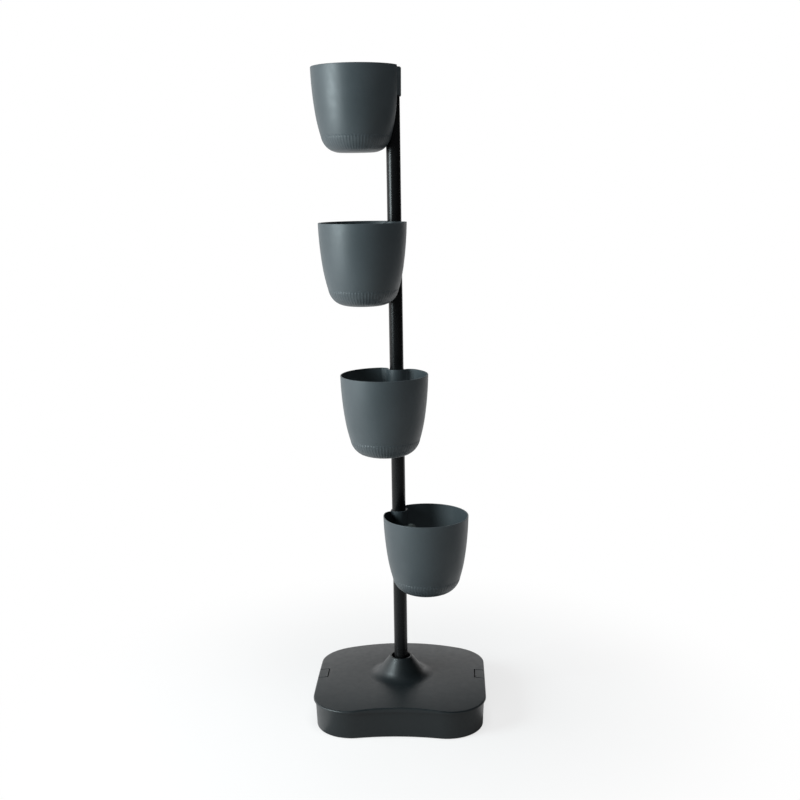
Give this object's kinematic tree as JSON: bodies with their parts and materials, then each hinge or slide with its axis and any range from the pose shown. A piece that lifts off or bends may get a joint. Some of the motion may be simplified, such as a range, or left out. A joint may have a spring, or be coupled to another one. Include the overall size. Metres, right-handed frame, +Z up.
{
  "type": "four-pot planter",
  "caption": "Free-standing floor planter: round tapered pots that slide and swivel on a central pole, each held by a clamp knob, over a weighted base with a domed cover and side latches.",
  "frame": {"origin": "on the floor, on the pole's axis, under the middle of the base", "axes": "+Z up along the pole; the base's hollow front edge faces -Y; +X to the right seen from the front"},
  "size_m": [0.3684, 0.3515, 1.3678],
  "materials": {
    "pot_plastic": "fine satin moulding, anthracite",
    "base_plastic": "smooth satin moulding, near black",
    "pole_paint": "satin black powder coat on steel tube",
    "knob_plastic": "moulded, grey",
    "bush_plastic": "moulded, black",
    "steel": "zinc plated",
    "brass": "turned",
    "rubber": "soft, black",
    "concrete": "cast, rough"
  },
  "bodies": {
    "base": {"base_tub": "base_plastic", "base_cover": "base_plastic", "ballast_slab": "concrete", "rubber_feet": "rubber", "foot_bolt": "steel", "foot_washer": "steel", "pole_plug": "bush_plastic", "pole_cap": "bush_plastic", "pole_section_1": "pole_paint", "pole_section_2": "pole_paint", "pole_section_3": "pole_paint", "pole_section_4": "pole_paint", "pole_joiner_1": "bush_plastic", "pole_joiner_2": "bush_plastic", "pole_joiner_3": "bush_plastic"},
    "latch_left": {"latch_left": "base_plastic"},
    "latch_right": {"latch_right": "base_plastic"},
    "bush_1": {"grip_bush_1": "bush_plastic"},
    "pot_1": {"pot_shell_1": "pot_plastic", "clamp_insert_1": "brass"},
    "pad_1": {"clamp_pad_1": "bush_plastic"},
    "knob_1": {"clamp_screw_1": "steel", "clamp_knob_1": "knob_plastic"},
    "bush_2": {"grip_bush_2": "bush_plastic"},
    "pot_2": {"pot_shell_2": "pot_plastic", "clamp_insert_2": "brass"},
    "pad_2": {"clamp_pad_2": "bush_plastic"},
    "knob_2": {"clamp_screw_2": "steel", "clamp_knob_2": "knob_plastic"},
    "bush_3": {"grip_bush_3": "bush_plastic"},
    "pot_3": {"pot_shell_3": "pot_plastic", "clamp_insert_3": "brass"},
    "pad_3": {"clamp_pad_3": "bush_plastic"},
    "knob_3": {"clamp_screw_3": "steel", "clamp_knob_3": "knob_plastic"},
    "bush_4": {"grip_bush_4": "bush_plastic"},
    "pot_4": {"pot_shell_4": "pot_plastic", "clamp_insert_4": "brass"},
    "pad_4": {"clamp_pad_4": "bush_plastic"},
    "knob_4": {"clamp_screw_4": "steel", "clamp_knob_4": "knob_plastic"}
  },
  "joints": [
    {"name": "latch_left_slide", "type": "slide", "parent": "base", "child": "latch_left", "axis": [1, 0, 0], "range_m": [0, 0.002]},
    {"name": "latch_right_slide", "type": "slide", "parent": "base", "child": "latch_right", "axis": [-1, 0, 0], "range_m": [0, 0.002]},
    {"name": "pot_1_height", "type": "slide", "parent": "base", "child": "bush_1", "axis": [0, 0, 1], "range_m": [-0.06, 0]},
    {"name": "pot_1_swivel", "type": "hinge", "parent": "bush_1", "child": "pot_1", "pos_m": [0, 0, 1.3678], "axis": [0, 0, 1], "continuous": true},
    {"name": "pad_1_slide", "type": "slide", "parent": "pot_1", "child": "pad_1", "axis": [-0.9956, -0.0941, 0], "range_m": [0, 0.0015]},
    {"name": "knob_1_turn", "type": "hinge", "parent": "pad_1", "child": "knob_1", "pos_m": [0, 0, 1.3288], "axis": [-0.9956, -0.0941, 0], "range_deg": [0, 540]},
    {"name": "pot_2_height", "type": "slide", "parent": "base", "child": "bush_2", "axis": [0, 0, 1], "range_m": [-0.06, 0.06]},
    {"name": "pot_2_swivel", "type": "hinge", "parent": "bush_2", "child": "pot_2", "pos_m": [0, 0, 1.0612], "axis": [0, 0, 1], "continuous": true},
    {"name": "pad_2_slide", "type": "slide", "parent": "pot_2", "child": "pad_2", "axis": [-0.8536, -0.521, 0], "range_m": [0, 0.0015]},
    {"name": "knob_2_turn", "type": "hinge", "parent": "pad_2", "child": "knob_2", "pos_m": [0, 0, 1.0222], "axis": [-0.8536, -0.521, 0], "range_deg": [0, 540]},
    {"name": "pot_3_height", "type": "slide", "parent": "base", "child": "bush_3", "axis": [0, 0, 1], "range_m": [-0.06, 0.06]},
    {"name": "pot_3_swivel", "type": "hinge", "parent": "bush_3", "child": "pot_3", "pos_m": [0, 0, 0.7546], "axis": [0, 0, 1], "continuous": true},
    {"name": "pad_3_slide", "type": "slide", "parent": "pot_3", "child": "pad_3", "axis": [-0.3007, -0.9537, 0], "range_m": [0, 0.0015]},
    {"name": "knob_3_turn", "type": "hinge", "parent": "pad_3", "child": "knob_3", "pos_m": [0, 0, 0.7156], "axis": [-0.3007, -0.9537, 0], "range_deg": [0, 540]},
    {"name": "pot_4_height", "type": "slide", "parent": "base", "child": "bush_4", "axis": [0, 0, 1], "range_m": [-0.14, 0.06]},
    {"name": "pot_4_swivel", "type": "hinge", "parent": "bush_4", "child": "pot_4", "pos_m": [0, 0, 0.448], "axis": [0, 0, 1], "continuous": true},
    {"name": "pad_4_slide", "type": "slide", "parent": "pot_4", "child": "pad_4", "axis": [0.7997, -0.6004, 0], "range_m": [0, 0.0015]},
    {"name": "knob_4_turn", "type": "hinge", "parent": "pad_4", "child": "knob_4", "pos_m": [0, 0, 0.409], "axis": [0.7997, -0.6004, 0], "range_deg": [0, 540]}
  ],
  "couplings": [
    {"joint": "pad_1_slide", "follows": "knob_1_turn", "m_per_rad": 0.000159},
    {"joint": "pad_2_slide", "follows": "knob_2_turn", "m_per_rad": 0.000159},
    {"joint": "pad_3_slide", "follows": "knob_3_turn", "m_per_rad": 0.000159},
    {"joint": "pad_4_slide", "follows": "knob_4_turn", "m_per_rad": 0.000159}
  ]
}
